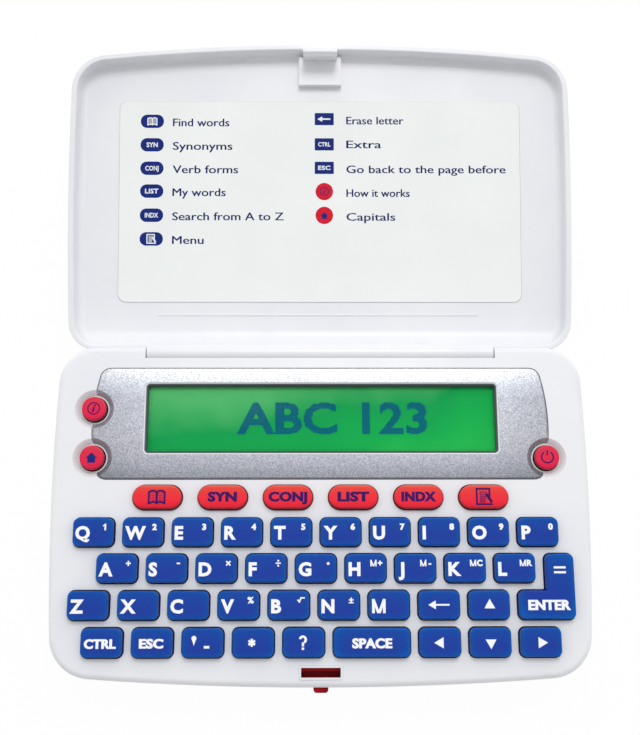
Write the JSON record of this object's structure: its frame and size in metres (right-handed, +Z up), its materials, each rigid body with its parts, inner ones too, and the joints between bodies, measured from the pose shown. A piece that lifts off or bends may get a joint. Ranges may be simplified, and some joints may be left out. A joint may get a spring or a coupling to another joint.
{
  "type": "electronic dictionary",
  "caption": "Pocket electronic dictionary with a hinged lid, sprung letter keys, a dot-matrix display window, a push latch and a sliding battery door.",
  "frame": {"origin": "centre of the flat underside of the base", "axes": "+X to the user's right, +Y from the user towards the hinge and the open lid, +Z up out of the keyboard"},
  "size_m": [0.1384, 0.1717, 0.0298],
  "materials": {
    "casing_plastic": "pearly off-white moulded plastic, satin",
    "silver_paint": "sparkling silver paint on plastic",
    "clear_window": "clear flat acrylic",
    "lcd_green": "green reflective display glass",
    "board": "green solder mask",
    "silicone": "grey silicone",
    "cell_wrap": "printed foil wrap",
    "screw_steel": "zinc-plated steel",
    "printed_plate": "matt printed sheet",
    "dark_red_plastic": "dark red moulded plastic",
    "blue_caps": "glossy blue caps with white legends",
    "red_caps": "glossy red caps"
  },
  "bodies": {
    "base": {"lower_case": "casing_plastic", "upper_case": "casing_plastic", "screen_bezel": "silver_paint", "screen_lens": "clear_window", "lcd_panel": "lcd_green", "circuit_board": "board", "key_mat": "silicone", "cells": "cell_wrap", "case_screws": "screw_steel"},
    "lid": {"lid_shell": "casing_plastic", "legend_plate": "printed_plate"},
    "latch": {"latch_button": "dark_red_plastic"},
    "door": {"battery_door": "casing_plastic"},
    "pill_dictionary": {"pill_dictionary": "red_caps"},
    "pill_synonym": {"pill_synonym": "red_caps"},
    "pill_conjugation": {"pill_conjugation": "red_caps"},
    "pill_list": {"pill_list": "red_caps"},
    "pill_index": {"pill_index": "red_caps"},
    "pill_menu": {"pill_menu": "red_caps"},
    "button_info": {"button_info": "red_caps"},
    "button_shift": {"button_shift": "red_caps"},
    "button_power": {"button_power": "red_caps"},
    "key_enter": {"key_enter": "blue_caps"},
    "key_space": {"key_space": "blue_caps"},
    "key_q": {"key_q": "blue_caps"},
    "key_w": {"key_w": "blue_caps"},
    "key_e": {"key_e": "blue_caps"},
    "key_r": {"key_r": "blue_caps"},
    "key_t": {"key_t": "blue_caps"},
    "key_y": {"key_y": "blue_caps"},
    "key_u": {"key_u": "blue_caps"},
    "key_i": {"key_i": "blue_caps"},
    "key_o": {"key_o": "blue_caps"},
    "key_p": {"key_p": "blue_caps"},
    "key_a": {"key_a": "blue_caps"},
    "key_s": {"key_s": "blue_caps"},
    "key_d": {"key_d": "blue_caps"},
    "key_f": {"key_f": "blue_caps"},
    "key_g": {"key_g": "blue_caps"},
    "key_h": {"key_h": "blue_caps"},
    "key_j": {"key_j": "blue_caps"},
    "key_k": {"key_k": "blue_caps"},
    "key_l": {"key_l": "blue_caps"},
    "key_z": {"key_z": "blue_caps"},
    "key_x": {"key_x": "blue_caps"},
    "key_c": {"key_c": "blue_caps"},
    "key_v": {"key_v": "blue_caps"},
    "key_b": {"key_b": "blue_caps"},
    "key_n": {"key_n": "blue_caps"},
    "key_m": {"key_m": "blue_caps"},
    "key_backspace": {"key_backspace": "blue_caps"},
    "key_up": {"key_up": "blue_caps"},
    "key_ctrl": {"key_ctrl": "blue_caps"},
    "key_esc": {"key_esc": "blue_caps"},
    "key_apostrophe": {"key_apostrophe": "blue_caps"},
    "key_asterisk": {"key_asterisk": "blue_caps"},
    "key_question": {"key_question": "blue_caps"},
    "key_left": {"key_left": "blue_caps"},
    "key_down": {"key_down": "blue_caps"},
    "key_right": {"key_right": "blue_caps"}
  },
  "joints": [
    {"name": "lid_hinge", "type": "hinge", "parent": "base", "child": "lid", "pos_m": [0, 0.0419, 0.0146], "axis": [1, 0, 0], "range_deg": [0, 170.5]},
    {"name": "latch_slide", "type": "slide", "parent": "base", "child": "latch", "axis": [0, 1, 0], "range_m": [0, 0.0008], "stiffness_N_per_m": 400, "springref_m": -0.0005},
    {"name": "door_slide", "type": "slide", "parent": "base", "child": "door", "axis": [0, 1, 0], "range_m": [0, 0.008]},
    {"name": "pill_dictionary_press", "type": "slide", "parent": "base", "child": "pill_dictionary", "axis": [0, 0, -1], "range_m": [0, 0.0012], "stiffness_N_per_m": 300, "springref_m": -0.0005},
    {"name": "pill_synonym_press", "type": "slide", "parent": "base", "child": "pill_synonym", "axis": [0, 0, -1], "range_m": [0, 0.0012], "stiffness_N_per_m": 300, "springref_m": -0.0005},
    {"name": "pill_conjugation_press", "type": "slide", "parent": "base", "child": "pill_conjugation", "axis": [0, 0, -1], "range_m": [0, 0.0012], "stiffness_N_per_m": 300, "springref_m": -0.0005},
    {"name": "pill_list_press", "type": "slide", "parent": "base", "child": "pill_list", "axis": [0, 0, -1], "range_m": [0, 0.0012], "stiffness_N_per_m": 300, "springref_m": -0.0005},
    {"name": "pill_index_press", "type": "slide", "parent": "base", "child": "pill_index", "axis": [0, 0, -1], "range_m": [0, 0.0012], "stiffness_N_per_m": 300, "springref_m": -0.0005},
    {"name": "pill_menu_press", "type": "slide", "parent": "base", "child": "pill_menu", "axis": [0, 0, -1], "range_m": [0, 0.0012], "stiffness_N_per_m": 300, "springref_m": -0.0005},
    {"name": "button_info_press", "type": "slide", "parent": "base", "child": "button_info", "axis": [0, 0, -1], "range_m": [0, 0.0009], "stiffness_N_per_m": 300, "springref_m": -0.0005},
    {"name": "button_shift_press", "type": "slide", "parent": "base", "child": "button_shift", "axis": [0, 0, -1], "range_m": [0, 0.0009], "stiffness_N_per_m": 300, "springref_m": -0.0005},
    {"name": "button_power_press", "type": "slide", "parent": "base", "child": "button_power", "axis": [0, 0, -1], "range_m": [0, 0.0009], "stiffness_N_per_m": 300, "springref_m": -0.0005},
    {"name": "key_enter_press", "type": "slide", "parent": "base", "child": "key_enter", "axis": [0, 0, -1], "range_m": [0, 0.0012], "stiffness_N_per_m": 300, "springref_m": -0.0005},
    {"name": "key_space_press", "type": "slide", "parent": "base", "child": "key_space", "axis": [0, 0, -1], "range_m": [0, 0.0012], "stiffness_N_per_m": 300, "springref_m": -0.0005},
    {"name": "key_q_press", "type": "slide", "parent": "base", "child": "key_q", "axis": [0, 0, -1], "range_m": [0, 0.0012], "stiffness_N_per_m": 300, "springref_m": -0.0005},
    {"name": "key_w_press", "type": "slide", "parent": "base", "child": "key_w", "axis": [0, 0, -1], "range_m": [0, 0.0012], "stiffness_N_per_m": 300, "springref_m": -0.0005},
    {"name": "key_e_press", "type": "slide", "parent": "base", "child": "key_e", "axis": [0, 0, -1], "range_m": [0, 0.0012], "stiffness_N_per_m": 300, "springref_m": -0.0005},
    {"name": "key_r_press", "type": "slide", "parent": "base", "child": "key_r", "axis": [0, 0, -1], "range_m": [0, 0.0012], "stiffness_N_per_m": 300, "springref_m": -0.0005},
    {"name": "key_t_press", "type": "slide", "parent": "base", "child": "key_t", "axis": [0, 0, -1], "range_m": [0, 0.0012], "stiffness_N_per_m": 300, "springref_m": -0.0005},
    {"name": "key_y_press", "type": "slide", "parent": "base", "child": "key_y", "axis": [0, 0, -1], "range_m": [0, 0.0012], "stiffness_N_per_m": 300, "springref_m": -0.0005},
    {"name": "key_u_press", "type": "slide", "parent": "base", "child": "key_u", "axis": [0, 0, -1], "range_m": [0, 0.0012], "stiffness_N_per_m": 300, "springref_m": -0.0005},
    {"name": "key_i_press", "type": "slide", "parent": "base", "child": "key_i", "axis": [0, 0, -1], "range_m": [0, 0.0012], "stiffness_N_per_m": 300, "springref_m": -0.0005},
    {"name": "key_o_press", "type": "slide", "parent": "base", "child": "key_o", "axis": [0, 0, -1], "range_m": [0, 0.0012], "stiffness_N_per_m": 300, "springref_m": -0.0005},
    {"name": "key_p_press", "type": "slide", "parent": "base", "child": "key_p", "axis": [0, 0, -1], "range_m": [0, 0.0012], "stiffness_N_per_m": 300, "springref_m": -0.0005},
    {"name": "key_a_press", "type": "slide", "parent": "base", "child": "key_a", "axis": [0, 0, -1], "range_m": [0, 0.0012], "stiffness_N_per_m": 300, "springref_m": -0.0005},
    {"name": "key_s_press", "type": "slide", "parent": "base", "child": "key_s", "axis": [0, 0, -1], "range_m": [0, 0.0012], "stiffness_N_per_m": 300, "springref_m": -0.0005},
    {"name": "key_d_press", "type": "slide", "parent": "base", "child": "key_d", "axis": [0, 0, -1], "range_m": [0, 0.0012], "stiffness_N_per_m": 300, "springref_m": -0.0005},
    {"name": "key_f_press", "type": "slide", "parent": "base", "child": "key_f", "axis": [0, 0, -1], "range_m": [0, 0.0012], "stiffness_N_per_m": 300, "springref_m": -0.0005},
    {"name": "key_g_press", "type": "slide", "parent": "base", "child": "key_g", "axis": [0, 0, -1], "range_m": [0, 0.0012], "stiffness_N_per_m": 300, "springref_m": -0.0005},
    {"name": "key_h_press", "type": "slide", "parent": "base", "child": "key_h", "axis": [0, 0, -1], "range_m": [0, 0.0012], "stiffness_N_per_m": 300, "springref_m": -0.0005},
    {"name": "key_j_press", "type": "slide", "parent": "base", "child": "key_j", "axis": [0, 0, -1], "range_m": [0, 0.0012], "stiffness_N_per_m": 300, "springref_m": -0.0005},
    {"name": "key_k_press", "type": "slide", "parent": "base", "child": "key_k", "axis": [0, 0, -1], "range_m": [0, 0.0012], "stiffness_N_per_m": 300, "springref_m": -0.0005},
    {"name": "key_l_press", "type": "slide", "parent": "base", "child": "key_l", "axis": [0, 0, -1], "range_m": [0, 0.0012], "stiffness_N_per_m": 300, "springref_m": -0.0005},
    {"name": "key_z_press", "type": "slide", "parent": "base", "child": "key_z", "axis": [0, 0, -1], "range_m": [0, 0.0012], "stiffness_N_per_m": 300, "springref_m": -0.0005},
    {"name": "key_x_press", "type": "slide", "parent": "base", "child": "key_x", "axis": [0, 0, -1], "range_m": [0, 0.0012], "stiffness_N_per_m": 300, "springref_m": -0.0005},
    {"name": "key_c_press", "type": "slide", "parent": "base", "child": "key_c", "axis": [0, 0, -1], "range_m": [0, 0.0012], "stiffness_N_per_m": 300, "springref_m": -0.0005},
    {"name": "key_v_press", "type": "slide", "parent": "base", "child": "key_v", "axis": [0, 0, -1], "range_m": [0, 0.0012], "stiffness_N_per_m": 300, "springref_m": -0.0005},
    {"name": "key_b_press", "type": "slide", "parent": "base", "child": "key_b", "axis": [0, 0, -1], "range_m": [0, 0.0012], "stiffness_N_per_m": 300, "springref_m": -0.0005},
    {"name": "key_n_press", "type": "slide", "parent": "base", "child": "key_n", "axis": [0, 0, -1], "range_m": [0, 0.0012], "stiffness_N_per_m": 300, "springref_m": -0.0005},
    {"name": "key_m_press", "type": "slide", "parent": "base", "child": "key_m", "axis": [0, 0, -1], "range_m": [0, 0.0012], "stiffness_N_per_m": 300, "springref_m": -0.0005},
    {"name": "key_backspace_press", "type": "slide", "parent": "base", "child": "key_backspace", "axis": [0, 0, -1], "range_m": [0, 0.0012], "stiffness_N_per_m": 300, "springref_m": -0.0005},
    {"name": "key_up_press", "type": "slide", "parent": "base", "child": "key_up", "axis": [0, 0, -1], "range_m": [0, 0.0012], "stiffness_N_per_m": 300, "springref_m": -0.0005},
    {"name": "key_ctrl_press", "type": "slide", "parent": "base", "child": "key_ctrl", "axis": [0, 0, -1], "range_m": [0, 0.0012], "stiffness_N_per_m": 300, "springref_m": -0.0005},
    {"name": "key_esc_press", "type": "slide", "parent": "base", "child": "key_esc", "axis": [0, 0, -1], "range_m": [0, 0.0012], "stiffness_N_per_m": 300, "springref_m": -0.0005},
    {"name": "key_apostrophe_press", "type": "slide", "parent": "base", "child": "key_apostrophe", "axis": [0, 0, -1], "range_m": [0, 0.0012], "stiffness_N_per_m": 300, "springref_m": -0.0005},
    {"name": "key_asterisk_press", "type": "slide", "parent": "base", "child": "key_asterisk", "axis": [0, 0, -1], "range_m": [0, 0.0012], "stiffness_N_per_m": 300, "springref_m": -0.0005},
    {"name": "key_question_press", "type": "slide", "parent": "base", "child": "key_question", "axis": [0, 0, -1], "range_m": [0, 0.0012], "stiffness_N_per_m": 300, "springref_m": -0.0005},
    {"name": "key_left_press", "type": "slide", "parent": "base", "child": "key_left", "axis": [0, 0, -1], "range_m": [0, 0.0012], "stiffness_N_per_m": 300, "springref_m": -0.0005},
    {"name": "key_down_press", "type": "slide", "parent": "base", "child": "key_down", "axis": [0, 0, -1], "range_m": [0, 0.0012], "stiffness_N_per_m": 300, "springref_m": -0.0005},
    {"name": "key_right_press", "type": "slide", "parent": "base", "child": "key_right", "axis": [0, 0, -1], "range_m": [0, 0.0012], "stiffness_N_per_m": 300, "springref_m": -0.0005}
  ]
}
